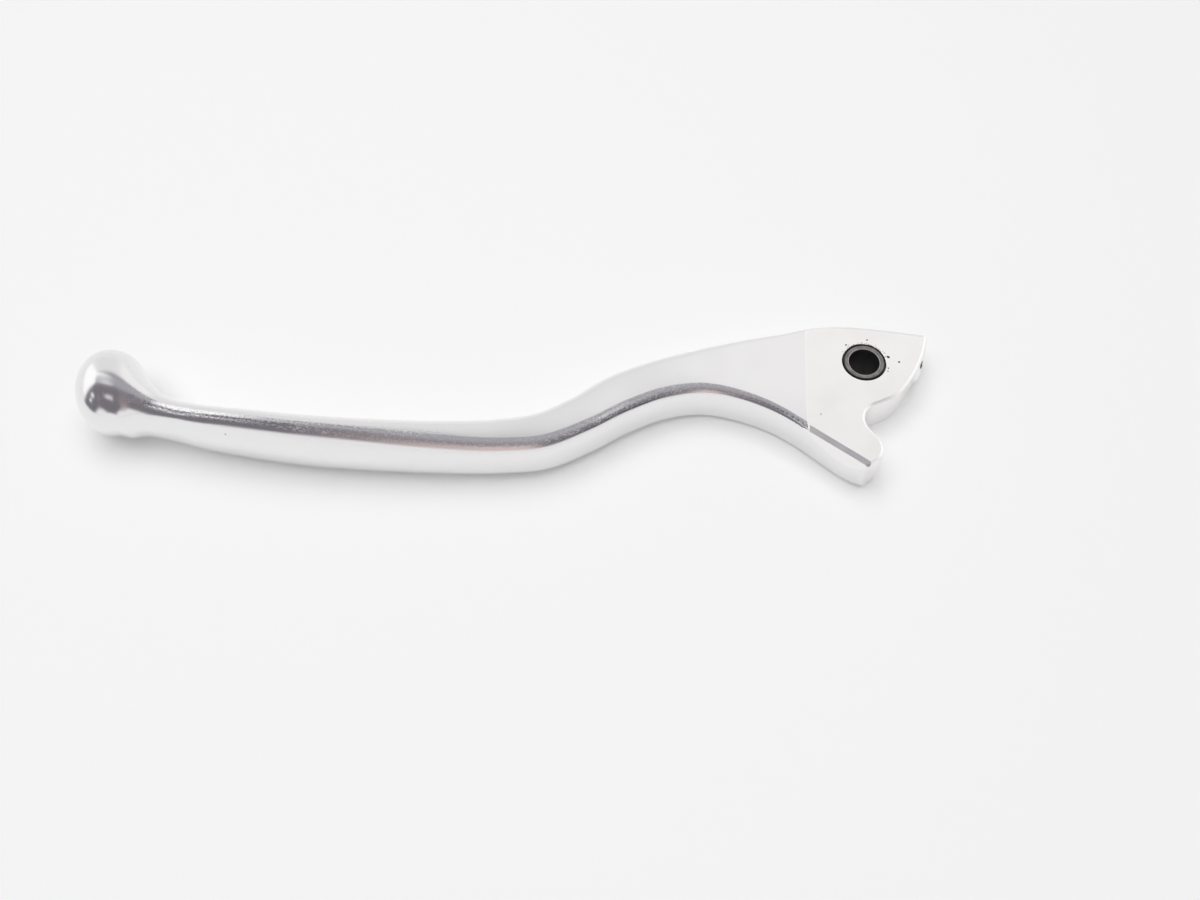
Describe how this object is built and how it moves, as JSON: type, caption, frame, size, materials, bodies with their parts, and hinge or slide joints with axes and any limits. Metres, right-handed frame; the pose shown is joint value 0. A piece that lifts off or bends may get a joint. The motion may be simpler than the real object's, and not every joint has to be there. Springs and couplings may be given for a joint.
{
  "type": "motorcycle clutch lever",
  "caption": "Forged light-alloy motorcycle clutch lever with a ball end, an oval finger blade, a crank and a milled root that swings on a dark pivot bush.",
  "frame": {"origin": "on the pivot axis, at the middle of the root's thickness", "axes": "+X from the ball end towards the root's fin, +Y to the side away from the fingers' grip, +Z along the pivot axis"},
  "size_m": [0.1964, 0.0379, 0.02],
  "materials": {
    "polished_alloy": "polished forging with finely milled root faces",
    "dark_bush": "dark, dull, slightly oily"
  },
  "bodies": {
    "bush": {"pivot_bush": "dark_bush"},
    "lever": {"lever": "polished_alloy"}
  },
  "joints": [
    {"name": "lever_pivot", "type": "hinge", "parent": "bush", "child": "lever", "pos_m": [0, 0, 0], "axis": [0, 0, 1], "continuous": true}
  ]
}
